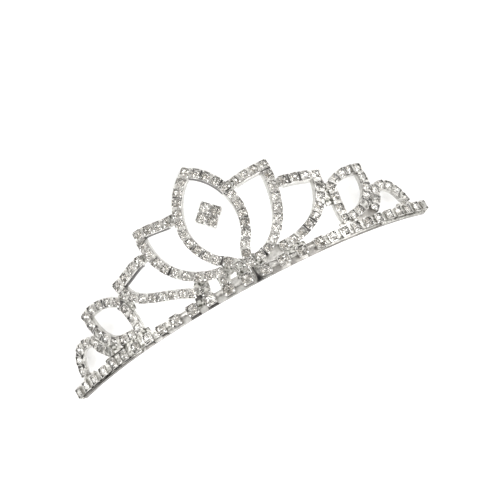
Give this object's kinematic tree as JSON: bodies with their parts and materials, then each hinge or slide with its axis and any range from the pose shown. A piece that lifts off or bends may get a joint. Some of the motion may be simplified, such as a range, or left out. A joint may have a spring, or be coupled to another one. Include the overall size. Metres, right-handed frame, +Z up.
{
  "type": "tiara headband",
  "caption": "Small curved tiara of stone-set chain, with open petals and loops above a plain band and a small diamond inside the tallest petal, lying hollow side down.",
  "frame": {"origin": "on the table, under the middle of the tiara's own box", "axes": "+Z up from the table; +X along the tiara's width, to its right seen from the front and above; +Y from the band towards the tips of the petals, as the tiara lies"},
  "size_m": [0.1266, 0.0538, 0.0279],
  "materials": {
    "silver_metal": "bright silver plate with soft dents and slightly dull recesses",
    "clear_stone": "clear cut glass with a mirror foil behind it"
  },
  "bodies": {
    "root": {"band": "silver_metal", "centre_petal": "silver_metal", "left_inner_petal": "silver_metal", "right_inner_petal": "silver_metal", "left_outer_petal": "silver_metal", "right_outer_petal": "silver_metal", "left_round_loop": "silver_metal", "right_round_loop": "silver_metal", "left_end_loop": "silver_metal", "right_end_loop": "silver_metal", "diamond": "silver_metal", "band_stones": "clear_stone", "centre_petal_stones": "clear_stone", "left_inner_petal_stones": "clear_stone", "right_inner_petal_stones": "clear_stone", "left_outer_petal_stones": "clear_stone", "right_outer_petal_stones": "clear_stone", "left_round_loop_stones": "clear_stone", "right_round_loop_stones": "clear_stone", "left_end_loop_stones": "clear_stone", "right_end_loop_stones": "clear_stone", "top_diamond_stone": "clear_stone", "left_diamond_stone": "clear_stone", "right_diamond_stone": "clear_stone", "bottom_diamond_stone": "clear_stone"}
  },
  "joints": []
}
